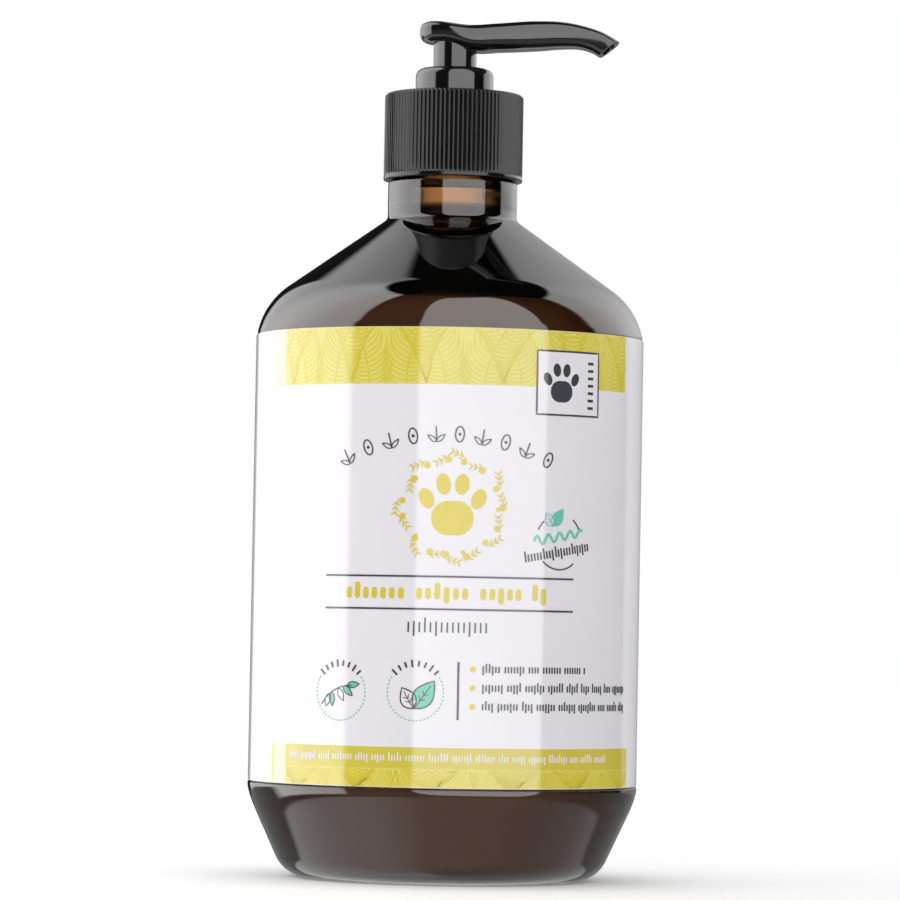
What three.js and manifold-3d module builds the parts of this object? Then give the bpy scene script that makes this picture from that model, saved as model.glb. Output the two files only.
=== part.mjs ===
// Shampoo bottle, 500 ml, with a lock-down lotion pump on a 24 mm neck.
// Millimetres, +Z up, origin at the centre of the base on the surface that the bottle stands on.
// The spout points along +X, turned a little towards -Y, and the pump is locked down.

import * as THREE from "three";
import { mergeVertices } from "three/addons/utils/BufferGeometryUtils.js";
import Module from "manifold-3d";

const wasm = await Module();
wasm.setup();

// ---- driving dimensions ----

// Bottle
const BODY_R = 39;
const WALL = 0.8;
const PUSH_UP = 3; // height of the domed base at its centre
const RING_IN = 24.4; // the flat standing ring
const HEEL_R = 7;
const CHAMFER_LOW = [33.1, 4.2];
const CHAMFER_HIGH = [BODY_R, 17.7];
const PANEL_LOW = 19; // the recess that protects the label
const PANEL_HIGH = 108.5;
const PANEL_DEPTH = 0.3;
const SHOULDER_R = 15; // round that joins the body to the cone
const SHOULDER_Z = 106;
const SHOULDER_TURN = THREE.MathUtils.degToRad(54.7);
const NECK_R = 13;
const NECK_FILLET = 1.5;
const NECK_TOP = 139.8;

// 24 mm neck finish
const FINISH_R = 10.65;
const BORE_R = 8.9;
const RIM_Z = 153.7;
const THREAD_R = 11.85;
const THREAD_LEAD = 3.175;
const THREAD_TURNS = 1.5;
const THREAD_START = 144;

// Label
const LABEL_IN = 38.75;
const LABEL_OUT = 38.95;
const LABEL_LOW = 19.2;
const LABEL_HIGH = 108.3;
const SEAM = 0.5;

// Closure
const CLOSURE_R = 14;
const CLOSURE_LOW = 140.1;
const CLOSURE_TOP = 157.6;
const CLOSURE_LIP = 0.8;
const CLOSURE_BORE_R = 12.3;
const CLOSURE_ROOF = 155.85;
const CLOSURE_HOLE_R = 7.3;
const RIBS = 96;
const RIB_DEPTH = 0.45;

// Pump engine
const HOUSING_R = 5.9;
const HOUSING_BORE_R = 5;
const HOUSING_COLLAR_R = 7;
const SPIGOT_BORE_R = 5.95; // upper bore of the housing, which takes the chaplet
const FLANGE_R = 10.4;
const FLANGE_Z = 154.7;
const FLANGE_TOP = 155.7;
const SHELF_Z = 112.2; // floor of the pump chamber
const SOCKET_LOW = 100; // socket that takes the dip tube
const SOCKET_TOP = 110.4;
const TUBE_R = 2.5;
const TUBE_BORE_R = 1.9;
const TUBE_LOW = 5.5;
const CHAPLET_R = 7.85;
const CHAPLET_LOW = 157.75;
const CHAPLET_TOP = 162.8;
const CHAPLET_ROUND = 1.6;
const GUIDE_R = 4.1;

// Head
const SPOUT_TURN = THREE.MathUtils.degToRad(-9);
const SKIRT_R = 4.35;
const SLEEVE_R = 4;
const SLEEVE_LOW = 140;
const SKIRT_LOW = 162.6;
const STEM_R = 2.6;
const STEM_BORE_R = 1.3;
const STEM_LOW = 125.35;
const STEM_TOP = 158;

const BALL_R = 2;
const BALL_Z = 112.56;

const ROUND = 48; // sides of the bottle, its label and the closure
const FINE = 36; // sides of the pump's larger round pieces
const SMALL = 24; // sides of its tubes

// ---- materials ----

const material = (name, color, roughness, more = {}) =>
  new THREE.MeshStandardMaterial({ name, color, roughness, metalness: 0, ...more });
const amber = material("amber", 0x4a2410, 0.08, { transparent: true, opacity: 0.6 });
const film = material("label", 0xf3f0f4, 0.35);
const black = material("black", 0x0c0d0d, 0.2);
const natural = material("natural", 0xe9e6df, 0.45);
const soft = material("soft", 0xf0eee8, 0.6);
const foam = material("foam", 0xf4f2ec, 0.8);
const steel = material("steel", 0xb9bcc0, 0.3, { metalness: 1 });
const glass = material("glass", 0xbfd6d2, 0.05);

// ---- shape helpers ----

// A solid of revolution about Z from [radius, height] points. The outline runs anticlockwise with the
// radius to the right, and it starts and ends on the axis or is closed by its first point.
function turned(points, sides) {
  const closed = points[0][0] > 0 ? [...points, points[0]] : points;
  const outline = closed.map(([r, z]) => new THREE.Vector2(r, z));
  return new THREE.LatheGeometry(outline, sides).rotateX(Math.PI / 2);
}

// Points on an arc round [r, z], both ends included.
function arc(centre, radius, from, to, steps) {
  return Array.from({ length: steps + 1 }, (_, i) => {
    const angle = from + ((to - from) * i) / steps;
    return [centre[0] + radius * Math.cos(angle), centre[1] + radius * Math.sin(angle)];
  });
}

function solid(geometry) {
  const bare = (geometry.index ? geometry.toNonIndexed() : geometry.clone())
    .deleteAttribute("normal")
    .deleteAttribute("uv");
  const merged = mergeVertices(bare, 1e-4);
  const parts = { numProp: 3, vertProperties: merged.attributes.position.array };
  return new wasm.Manifold(new wasm.Mesh({ ...parts, triVerts: new Uint32Array(merged.index.array) }));
}

function geometryOf(body) {
  const { vertProperties, triVerts, numProp } = body.getMesh();
  if (numProp !== 3) throw new Error("the solid holds more than positions");
  const geometry = new THREE.BufferGeometry();
  geometry.setAttribute("position", new THREE.BufferAttribute(vertProperties, 3));
  geometry.setIndex(new THREE.BufferAttribute(triVerts, 1));
  return geometry;
}

const cut = (body, ...tools) =>
  geometryOf(tools.reduce((rest, tool) => rest.subtract(solid(tool)), solid(body)));
const joined = (...parts) => geometryOf(parts.map(solid).reduce((all, part) => all.add(part)));

// A bar of the given section wound round Z: section x is radial, section y is axial.
function wound(section, radius, start, lead, turns, stepsPerTurn) {
  const sweep = turns * 2 * Math.PI;
  const steps = Math.round(turns * stepsPerTurn);
  const bar = new THREE.ExtrudeGeometry(section, { depth: sweep, steps, bevelEnabled: false });
  const place = bar.attributes.position;
  for (let i = 0; i < place.count; i++) {
    const angle = sweep - place.getZ(i);
    const r = radius + place.getX(i);
    const z = start + place.getY(i) + (lead * angle) / (2 * Math.PI);
    place.setXYZ(i, r * Math.cos(angle), r * Math.sin(angle), z);
  }
  return bar;
}

// Thread section: a trapezoid that stands out by the given height from x = 0 (inwards when negative).
function ridge(height, root, crest) {
  const corners = [
    [0, -root / 2],
    [height, -crest / 2],
    [height, crest / 2],
    [0, root / 2],
  ];
  const order = height > 0 ? corners : corners.reverse();
  return new THREE.Shape(order.map(([x, y]) => new THREE.Vector2(x, y)));
}

// A closed bar through sections that each span a top point to a bottom point in the XZ plane.
function lofted(stations, sides, squareness) {
  const bar = new THREE.CylinderGeometry(1, 1, 1, sides, stations.length - 1);
  const place = bar.attributes.position;
  const bulge = (value) => Math.sign(value) * Math.abs(value) ** (2 / squareness);
  for (let i = 0; i < place.count; i++) {
    const row = Math.round((place.getY(i) + 0.5) * (stations.length - 1));
    const { top, bottom, half } = stations[row];
    const across = -bulge(place.getX(i)) * half;
    const up = (bulge(place.getZ(i)) + 1) / 2;
    const x = THREE.MathUtils.lerp(bottom[0], top[0], up);
    const z = THREE.MathUtils.lerp(bottom[1], top[1], up);
    place.setXYZ(i, x, across, z);
  }
  return bar;
}

// ---- bottle ----

function bottle() {
  const chamferTilt = Math.atan2(CHAMFER_HIGH[0] - CHAMFER_LOW[0], CHAMFER_HIGH[1] - CHAMFER_LOW[1]);
  const heelCentre = [CHAMFER_LOW[0] - HEEL_R * Math.cos(chamferTilt), HEEL_R];
  const panelR = BODY_R - PANEL_DEPTH;
  const shoulderCentre = [BODY_R - SHOULDER_R, SHOULDER_Z];
  const slope = Math.PI / 2 - SHOULDER_TURN; // of the cone above the horizontal
  const filletRun = NECK_FILLET * Math.tan(SHOULDER_TURN / 2);
  const coneEnd = shoulderCentre[0] + SHOULDER_R * Math.cos(SHOULDER_TURN);
  const coneStartZ = SHOULDER_Z + SHOULDER_R * Math.sin(SHOULDER_TURN);
  const neckRoot = coneStartZ + (coneEnd - NECK_R) * Math.tan(slope);
  const filletCentre = [NECK_R + NECK_FILLET, neckRoot + filletRun];

  const dome = (rise, radius) =>
    [0, 0.5, 0.82].map((part) => [part * radius, rise * (1 - part * part)]);
  const outside = [
    ...dome(PUSH_UP, RING_IN),
    [RING_IN, 0],
    ...arc(heelCentre, HEEL_R, -Math.PI / 2, -chamferTilt, 3),
    [BODY_R - 0.35, CHAMFER_HIGH[1] - 0.8],
    [BODY_R - 0.07, CHAMFER_HIGH[1] + 0.1],
    [BODY_R, PANEL_LOW - 0.4],
    [panelR, PANEL_LOW],
    [panelR, PANEL_HIGH],
    ...arc(shoulderCentre, SHOULDER_R, 0.18, SHOULDER_TURN, 5),
    ...arc(filletCentre, NECK_FILLET, Math.PI + SHOULDER_TURN, Math.PI, 2),
    [NECK_R, NECK_TOP - 0.5],
    [NECK_R - 0.5, NECK_TOP],
    [FINISH_R, NECK_TOP],
    [FINISH_R, RIM_Z - 0.4],
    [FINISH_R - 0.4, RIM_Z],
  ];

  const thick = 1.3; // wall at the shoulder and the neck
  const inside = [
    [BORE_R, RIM_Z],
    [BORE_R, NECK_TOP + 0.6],
    [NECK_R - thick, NECK_TOP - 2],
    [NECK_R - thick, neckRoot - 0.4],
    ...arc(shoulderCentre, SHOULDER_R - thick, SHOULDER_TURN, 0.12, 3),
    [panelR - WALL, SHOULDER_Z - 4],
    [panelR - WALL, PANEL_LOW - 1],
    ...arc([heelCentre[0], HEEL_R + 0.2], HEEL_R - 1, -chamferTilt, -Math.PI / 2, 2),
    ...dome(PUSH_UP, RING_IN - 1)
      .map(([r, z]) => [r, z + 1])
      .reverse(),
  ];
  const shell = turned([...outside, ...inside], ROUND);
  const rise = THREAD_R - FINISH_R;
  const thread = wound(
    ridge(rise + 0.3, 2.1, 0.9),
    FINISH_R - 0.3,
    THREAD_START,
    THREAD_LEAD,
    THREAD_TURNS,
    ROUND / 2,
  );
  return joined(shell, thread);
}

function wrapLabel() {
  const sleeve = turned(
    [
      [LABEL_IN, LABEL_LOW],
      [LABEL_OUT, LABEL_LOW],
      [LABEL_OUT, LABEL_HIGH],
      [LABEL_IN, LABEL_HIGH],
    ],
    ROUND,
  );
  const height = LABEL_HIGH - LABEL_LOW + 2;
  const slit = new THREE.BoxGeometry(SEAM, 4, height);
  slit.translate(0, BODY_R, (LABEL_LOW + LABEL_HIGH) / 2);
  return cut(sleeve, slit);
}

// ---- closure ----

function closure() {
  const outline = Array.from({ length: 2 * RIBS }, (_, i) => {
    const angle = (Math.PI * i) / RIBS;
    const radius = CLOSURE_R - (i % 2) * RIB_DEPTH;
    return new THREE.Vector2(radius * Math.cos(angle), radius * Math.sin(angle));
  });
  const ribLow = CLOSURE_LOW + CLOSURE_LIP - 0.1;
  const ribHigh = CLOSURE_TOP - 0.7;
  const ribbed = new THREE.ExtrudeGeometry(new THREE.Shape(outline), {
    depth: ribHigh - ribLow,
    bevelEnabled: false,
  });
  ribbed.translate(0, 0, ribLow);
  const lip = turned(
    [
      [0, CLOSURE_LOW],
      [CLOSURE_R, CLOSURE_LOW],
      [CLOSURE_R, CLOSURE_LOW + CLOSURE_LIP],
      [0, CLOSURE_LOW + CLOSURE_LIP],
    ],
    ROUND,
  );
  const crown = turned(
    [
      [0, ribHigh - 0.6],
      [CLOSURE_R - RIB_DEPTH, ribHigh - 0.6],
      [CLOSURE_R - RIB_DEPTH, ribHigh],
      [CLOSURE_R - RIB_DEPTH - 0.25, ribHigh + 0.45],
      [CLOSURE_R - RIB_DEPTH - 0.8, CLOSURE_TOP],
      [0, CLOSURE_TOP],
    ],
    ROUND,
  );
  const bore = turned(
    [
      [0, CLOSURE_LOW - 1],
      [CLOSURE_BORE_R + 0.5, CLOSURE_LOW - 1],
      [CLOSURE_BORE_R + 0.5, CLOSURE_LOW],
      [CLOSURE_BORE_R, CLOSURE_LOW + 0.5],
      [CLOSURE_BORE_R, CLOSURE_ROOF - 0.6],
      [CLOSURE_BORE_R - 0.6, CLOSURE_ROOF],
      [CLOSURE_HOLE_R, CLOSURE_ROOF],
      [CLOSURE_HOLE_R, CLOSURE_TOP + 1],
      [0, CLOSURE_TOP + 1],
    ],
    ROUND,
  );
  const crest = THREAD_R + 0.1; // clears the bottle's thread
  const thread = wound(
    ridge(crest - CLOSURE_BORE_R - 0.4, 1.9, 0.7),
    CLOSURE_BORE_R + 0.4,
    THREAD_START + THREAD_LEAD / 2,
    THREAD_LEAD,
    THREAD_TURNS,
    ROUND / 2,
  );
  const shell = solid(joined(ribbed, lip, crown)).subtract(solid(bore));
  return geometryOf(shell.add(solid(thread)));
}

function neckGasket() {
  const low = RIM_Z + 0.1;
  const high = FLANGE_Z - 0.1;
  return turned(
    [
      [HOUSING_COLLAR_R + 0.3, low],
      [FLANGE_R, low],
      [FLANGE_R, high],
      [HOUSING_COLLAR_R + 0.3, high],
    ],
    FINE,
  );
}

// ---- pump engine ----

function pumpHousing() {
  const barrel = turned(
    [
      [TUBE_R + 0.08, SOCKET_LOW],
      [3.5, SOCKET_LOW],
      [3.7, SOCKET_TOP - 1],
      [HOUSING_R, SOCKET_TOP + 0.8],
      [HOUSING_R, 147.6],
      [HOUSING_COLLAR_R, 148.8],
      [HOUSING_COLLAR_R, FLANGE_Z],
      [FLANGE_R, FLANGE_Z],
      [FLANGE_R, FLANGE_TOP],
      [HOUSING_COLLAR_R, FLANGE_TOP],
      [HOUSING_COLLAR_R, FLANGE_TOP + 1.2],
      [SPIGOT_BORE_R, FLANGE_TOP + 1.2],
      [SPIGOT_BORE_R, 149.2],
      [HOUSING_BORE_R, 148.4],
      [HOUSING_BORE_R, SHELF_Z],
      [2.6, SHELF_Z],
      [1.2, SHELF_Z - 1.3],
      [1.2, SOCKET_TOP],
      [TUBE_R + 0.08, SOCKET_TOP],
    ],
    FINE,
  );
  const vent = new THREE.CylinderGeometry(0.6, 0.6, 3, 12).rotateZ(Math.PI / 2);
  vent.translate(HOUSING_R - 0.4, 0, 145);
  return cut(barrel, vent);
}

function dipTube() {
  const tube = turned(
    [
      [TUBE_BORE_R, TUBE_LOW],
      [TUBE_R, TUBE_LOW],
      [TUBE_R, SOCKET_TOP - 0.1],
      [TUBE_BORE_R, SOCKET_TOP - 0.1],
    ],
    SMALL,
  );
  // The lower end is cut at an angle so that it can't seal against the base.
  const knife = new THREE.BoxGeometry(20, 20, 10);
  knife.translate(0, 0, -5);
  knife.rotateY(THREE.MathUtils.degToRad(-35));
  knife.translate(0, 0, TUBE_LOW + 2);
  return cut(tube, knife);
}

function ballCage() {
  const roof = 117.1;
  const body = turned(
    [
      [2.4, SHELF_Z + 0.05],
      [4.85, SHELF_Z + 0.05],
      [4.85, SHELF_Z + 0.9],
      [3.2, SHELF_Z + 0.9],
      [3.2, roof - 0.3],
      [2.9, roof],
      [1, roof],
      [1, roof - 0.8],
      [2.4, roof - 0.8],
    ],
    SMALL,
  );
  const across = new THREE.BoxGeometry(8, 1.5, 2.4).translate(0, 0, SHELF_Z + 2.6);
  const along = new THREE.BoxGeometry(1.5, 8, 2.4).translate(0, 0, SHELF_Z + 2.6);
  return cut(body, across, along);
}

function returnSpring() {
  const wireR = 0.42;
  const low = SHELF_Z + 0.9 + wireR + 0.06;
  const high = STEM_LOW - 1.15 - wireR - 0.06;
  const turns = 7;
  const section = new THREE.Shape().absarc(0, 0, wireR, 0, 2 * Math.PI);
  const wire = new THREE.Shape(section.getPoints(3).slice(0, -1));
  return wound(wire, 3.86, low, (high - low) / turns, turns, 12);
}

function piston() {
  const low = STEM_LOW + 0.15;
  const bore = STEM_R + 0.12;
  const lip = HOUSING_BORE_R - 0.07;
  return turned(
    [
      [bore, low],
      [3.3, low],
      [3.5, low + 1.3],
      [lip - 0.4, low - 0.1],
      [lip, low + 0.1],
      [4.3, low + 1.9],
      [4.3, low + 3.7],
      [lip, low + 5.5],
      [lip - 0.4, low + 5.6],
      [3.5, low + 4.3],
      [3.2, low + 5.7],
      [bore, low + 5.7],
    ],
    FINE,
  );
}

function chaplet() {
  const shoulder = [CHAPLET_R - CHAPLET_ROUND, CHAPLET_TOP - CHAPLET_ROUND];
  const spigot = SPIGOT_BORE_R - 0.1;
  const lockBore = SKIRT_R + 0.55;
  const body = turned(
    [
      [GUIDE_R, 150],
      [spigot, 150],
      [spigot, CHAPLET_LOW],
      [CHAPLET_R, CHAPLET_LOW],
      ...arc(shoulder, CHAPLET_ROUND, 0, Math.PI / 2, 4),
      [lockBore + 0.4, CHAPLET_TOP],
      [lockBore, CHAPLET_TOP - 0.4],
      [lockBore, CHAPLET_LOW + 0.5],
      [GUIDE_R, CHAPLET_LOW],
    ],
    FINE,
  );
  const lock = wound(ridge(-0.7, 1.1, 0.5), lockBore + 0.3, CHAPLET_LOW + 1.2, 2.4, 1, FINE);
  return joined(body, lock);
}

// ---- head ----

// Sections of the bulb and spout from the back to the tip.
const SPOUT = [
  { top: [-7, 171], bottom: [-7, 169.2], half: 1.4 },
  { top: [-6.6, 171.7], bottom: [-6.6, 168.5], half: 2.9 },
  { top: [-5.4, 172.2], bottom: [-5.4, 168], half: 4.4 },
  { top: [-3, 172.3], bottom: [-3, 167.9], half: 5.5 },
  { top: [-0.8, 172.05], bottom: [-0.8, 167.7], half: 5.9 },
  { top: [1.2, 171.75], bottom: [1.2, 167.1], half: 5.9 },
  { top: [3.4, 171.55], bottom: [3.4, 166.35], half: 5.7 },
  { top: [9, 171.85], bottom: [9, 166.35], half: 5.1 },
  { top: [17, 172.35], bottom: [17, 166.6], half: 4.2 },
  { top: [22, 172.2], bottom: [21.5, 166.9], half: 3.7 },
  { top: [27, 171.2], bottom: [25.5, 166.8], half: 3.35 },
  { top: [30.3, 170.05], bottom: [27.8, 166.1], half: 3.15 },
  { top: [33.2, 168.4], bottom: [29.3, 165.2], half: 3 },
];

// Sections of the channel: the middle part of each spout section from the stem onwards.
function channelSections() {
  const inner = ({ top, bottom }) => {
    const at = (part) => bottom.map((value, i) => THREE.MathUtils.lerp(value, top[i], part));
    return { top: at(0.76), bottom: at(0.26), half: 1.7 };
  };
  const sections = SPOUT.slice(5).map(inner);
  const first = sections[0];
  const last = sections.at(-1);
  const shifted = ({ top, bottom, half }, x, z) => ({
    top: [top[0] + x, top[1] + z],
    bottom: [bottom[0] + x, bottom[1] + z],
    half,
  });
  return [shifted(first, -1.2, 0), ...sections, shifted(last, 0.7, -1.2)];
}

function actuator() {
  const post = turned(
    [
      [0, SLEEVE_LOW],
      [SLEEVE_R, SLEEVE_LOW],
      [SLEEVE_R, SKIRT_LOW - 0.3],
      [SKIRT_R, SKIRT_LOW],
      [SKIRT_R, 168.2],
      [5.2, 168.6],
      [5.2, 170.5],
      [0, 170.5],
    ],
    FINE,
  );
  const lock = wound(ridge(0.7, 1.1, 0.5), SLEEVE_R - 0.3, CHAPLET_LOW + 2.4, 2.4, 0.8, FINE);
  const socket = turned(
    [
      [0, SLEEVE_LOW - 1],
      [STEM_R + 0.06, SLEEVE_LOW - 1],
      [STEM_R + 0.06, STEM_TOP + 0.1],
      [STEM_BORE_R, STEM_TOP + 0.1],
      [STEM_BORE_R, 169.6],
      [0, 169.6],
    ],
    SMALL,
  );
  const spout = lofted(SPOUT, 20, 3.2);
  const channel = lofted(channelSections(), 10, 2.2);
  const outer = joined(post, lock, spout);
  return cut(outer, socket, channel);
}

function stem() {
  const tube = turned(
    [
      [STEM_BORE_R, STEM_LOW],
      [STEM_R, STEM_LOW],
      [STEM_R, STEM_TOP],
      [STEM_BORE_R, STEM_TOP],
    ],
    SMALL,
  );
  const ports = new THREE.BoxGeometry(8, 1, 1.2).translate(0, 0, STEM_LOW + 3.7);
  return cut(tube, ports);
}

function pistonSeat() {
  return turned(
    [
      [0, STEM_LOW - 1.15],
      [4.4, STEM_LOW - 1.15],
      [4.4, STEM_LOW - 0.6],
      [3.9, STEM_LOW - 0.1],
      [STEM_BORE_R - 0.1, STEM_LOW - 0.1],
      [STEM_BORE_R - 0.1, STEM_LOW + 2.2],
      [0.6, STEM_LOW + 2.8],
      [0, STEM_LOW + 2.8],
    ],
    SMALL,
  );
}

// ---- assembly ----

function piece(name, geometry, finish) {
  const mesh = new THREE.Mesh(geometry, finish.clone());
  mesh.name = name;
  return mesh;
}

const head = new THREE.Group();
head.rotation.z = SPOUT_TURN;
head.add(
  piece("actuator", actuator(), black),
  piece("stem", stem(), natural),
  piece("piston_seat", pistonSeat(), natural),
);

const ball = piece("inlet_ball", new THREE.SphereGeometry(BALL_R, 20, 12).rotateX(Math.PI / 2), glass);
ball.position.z = BALL_Z;

const assembly = new THREE.Group();
assembly.add(
  piece("bottle", bottle(), amber),
  piece("wrap_label", wrapLabel(), film),
  piece("closure", closure(), black),
  piece("chaplet", chaplet(), black),
  piece("neck_gasket", neckGasket(), foam),
  piece("pump_housing", pumpHousing(), natural),
  piece("dip_tube", dipTube(), natural),
  piece("ball_cage", ballCage(), natural),
  piece("return_spring", returnSpring(), steel),
  piece("piston", piston(), soft),
  ball,
  head,
);

export default assembly;
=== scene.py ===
"""Looks of the shampoo bottle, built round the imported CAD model.

Lengths are in millimetres until a mesh is made."""

import math

import bpy
import numpy as np
from mathutils import Matrix, Vector


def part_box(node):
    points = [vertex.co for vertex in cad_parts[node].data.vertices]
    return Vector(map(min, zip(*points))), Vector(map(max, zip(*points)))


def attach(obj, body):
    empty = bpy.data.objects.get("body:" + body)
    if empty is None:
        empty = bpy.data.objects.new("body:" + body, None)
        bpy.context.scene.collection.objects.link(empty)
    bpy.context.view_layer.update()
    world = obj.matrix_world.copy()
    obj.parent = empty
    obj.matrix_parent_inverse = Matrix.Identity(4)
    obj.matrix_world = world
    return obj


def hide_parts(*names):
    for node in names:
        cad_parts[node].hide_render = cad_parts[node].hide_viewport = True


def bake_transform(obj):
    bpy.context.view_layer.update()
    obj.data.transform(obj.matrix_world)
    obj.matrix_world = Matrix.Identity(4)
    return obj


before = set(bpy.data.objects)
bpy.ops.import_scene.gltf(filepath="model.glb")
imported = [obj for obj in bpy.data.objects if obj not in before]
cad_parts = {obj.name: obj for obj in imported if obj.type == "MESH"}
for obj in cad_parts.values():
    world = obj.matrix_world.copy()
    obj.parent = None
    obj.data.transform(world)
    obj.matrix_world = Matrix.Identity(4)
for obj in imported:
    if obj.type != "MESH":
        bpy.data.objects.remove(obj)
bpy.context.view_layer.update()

MM = 0.001
TURN = 2 * math.pi


def span(node):
    """Lowest and highest corner of a CAD node, in millimetres."""
    low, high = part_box(node)
    return np.array(low) / MM, np.array(high) / MM


# ---- camera ----

camera = bpy.data.objects.new("camera", bpy.data.cameras.new("camera"))
bpy.context.scene.collection.objects.link(camera)
camera.data.lens = 191.4
camera.data.sensor_width = 36
camera.data.clip_end = 50
camera.location = (0.0004, -0.962, 0.049)
CAMERA_PITCH = math.radians(2.2)
CAMERA_ROLL = math.radians(1.04)
camera.matrix_world = (
    Matrix.Translation(camera.location)
    @ Matrix.Rotation(math.pi / 2 + CAMERA_PITCH, 4, "X")
    @ Matrix.Rotation(CAMERA_ROLL, 4, "Z")
)
bpy.context.scene.camera = camera
bpy.context.scene.view_settings.view_transform = "Standard"

# ---- sizes, from the frame ----

bottle_high = span("bottle")[1]
label_low, label_high = span("wrap_label")
closure_low, closure_high = span("closure")
chaplet_high = span("chaplet")[1]
head_low = span("actuator")[0]
housing_low, housing_high = span("pump_housing")
tube_low, tube_high = span("dip_tube")
piston_low = span("piston")[0]
gasket_low, gasket_high = span("neck_gasket")
ball_low, ball_high = span("inlet_ball")
spring_low, spring_high = span("return_spring")

BODY_R = bottle_high[0]
HOUSING_R = 5.9
RIM_Z = bottle_high[2]
PANEL_DEPTH = 0.3
WALL = 0.8
HEEL_R = 7
CHAMFER_LOW = (33.1, 4.2)
CHAMFER_HIGH = (BODY_R, 16.9)
BASE_BEND = 4  # how far down the chamfer its rounded top edge reaches
SHOULDER_R = 15
SHOULDER_Z = 106
SHOULDER_TURN = math.radians(54.7)
NECK_R = 13
NECK_TOP = 139.8
NECK_FILLET = 1.5
FINISH_R = 10.65
BORE_R = 8.9
THREAD_R = 11.85
THREAD_LEAD = 3.175
THREAD_START = 144
THREAD_TURNS = 1.5
FILL_Z = 114.5
SPOUT_TURN = math.radians(-9)


# ---- mesh helpers ----


def add_mesh(name, points, faces, material, smooth=40):
    """A mesh object from millimetre points, smooth-shaded up to the given edge angle in degrees."""
    mesh = bpy.data.meshes.new(name)
    mesh.from_pydata([tuple(p) for p in np.asarray(points, float) * MM], [], [list(f) for f in faces])
    mesh.validate()
    mesh.shade_smooth()
    mesh.set_sharp_from_angle(angle=math.radians(smooth))
    mesh.materials.append(material)
    piece = bpy.data.objects.new(name, mesh)
    bpy.context.scene.collection.objects.link(piece)
    evened = piece.modifiers.new("evened", "WEIGHTED_NORMAL")
    evened.keep_sharp = True
    return piece


def grid_faces(rows, columns, wrap_columns=True, wrap_rows=False):
    """Quads of a grid whose points run along the columns first."""
    faces = []
    for i in range(rows if wrap_rows else rows - 1):
        for j in range(columns if wrap_columns else columns - 1):
            a, b = i * columns + j, i * columns + (j + 1) % columns
            c, d = (i + 1) % rows * columns + (j + 1) % columns, (i + 1) % rows * columns + j
            faces.append((a, b, c, d))
    return faces


def arc(centre, radius, start, end, steps):
    angles = np.linspace(start, end, steps + 1)
    return [(centre[0] + radius * math.cos(a), centre[1] + radius * math.sin(a)) for a in angles]


def bezier(a, b, c, steps=10):
    a, b, c = np.array(a, float), np.array(b, float), np.array(c, float)
    return [(1 - t) ** 2 * a + 2 * t * (1 - t) * b + t * t * c for t in np.linspace(0, 1, steps + 1)]


def rounded(outline, radius, steps=3, closed=True):
    """The outline with each corner rounded; radius is one number or one for each corner."""
    points = [np.array(p, float) for p in outline]
    radii = [radius] * len(points) if np.isscalar(radius) else list(radius)
    result = []
    for i, corner in enumerate(points):
        if radii[i] <= 0 or (not closed and i in (0, len(points) - 1)):
            result.append(tuple(corner))
            continue
        before, after = points[i - 1] - corner, points[(i + 1) % len(points)] - corner
        reach = min(radii[i], 0.45 * np.linalg.norm(before), 0.45 * np.linalg.norm(after))
        start = corner + before / np.linalg.norm(before) * reach
        end = corner + after / np.linalg.norm(after) * reach
        for t in np.linspace(0, 1, steps + 1):
            result.append(tuple((1 - t) ** 2 * start + 2 * t * (1 - t) * corner + t * t * end))
    return result


def subdivided(outline, longest):
    """The closed outline with its long sides cut up, so that reflections stay smooth."""
    result = []
    for a, b in zip(outline, outline[1:] + outline[:1]):
        steps = max(1, math.ceil(math.dist(a, b) / longest))
        result += [tuple(np.array(a) + (np.array(b) - np.array(a)) * k / steps) for k in range(steps)]
    return result


def turned(name, outline, sides, material, radius_at=None, smooth=40):
    """A solid of revolution. The outline is [radius, height] points, anticlockwise, and it closes on
    itself or starts and ends on the axis. radius_at(angles, radius, height) may reshape each row."""
    angles = np.arange(sides) * TURN / sides
    on_axis = outline[0][0] == 0
    rows = outline[1:-1] if on_axis else outline
    points = []
    for r, z in rows:
        radii = np.full(sides, r) if radius_at is None else radius_at(angles, r, z)
        points += list(zip(radii * np.cos(angles), radii * np.sin(angles), np.full(sides, z)))
    faces = grid_faces(len(rows), sides, wrap_rows=not on_axis)
    if on_axis:
        start, end = len(points), len(points) + 1
        points += [(0, 0, outline[0][1]), (0, 0, outline[-1][1])]
        last = (len(rows) - 1) * sides
        faces += [(start, (j + 1) % sides, j) for j in range(sides)]
        faces += [(end, last + j, last + (j + 1) % sides) for j in range(sides)]
    return add_mesh(name, points, faces, material, smooth)


# ---- materials ----


def fill_ramp(color_ramp, stops):
    """Stops are (position, colour)."""
    elements = color_ramp.elements
    elements[0].position, elements[-1].position = stops[0][0], stops[-1][0]
    elements[0].color, elements[-1].color = (*stops[0][1], 1), (*stops[-1][1], 1)
    for position, colour in stops[1:-1]:
        elements.new(position).color = (*colour, 1)


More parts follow.
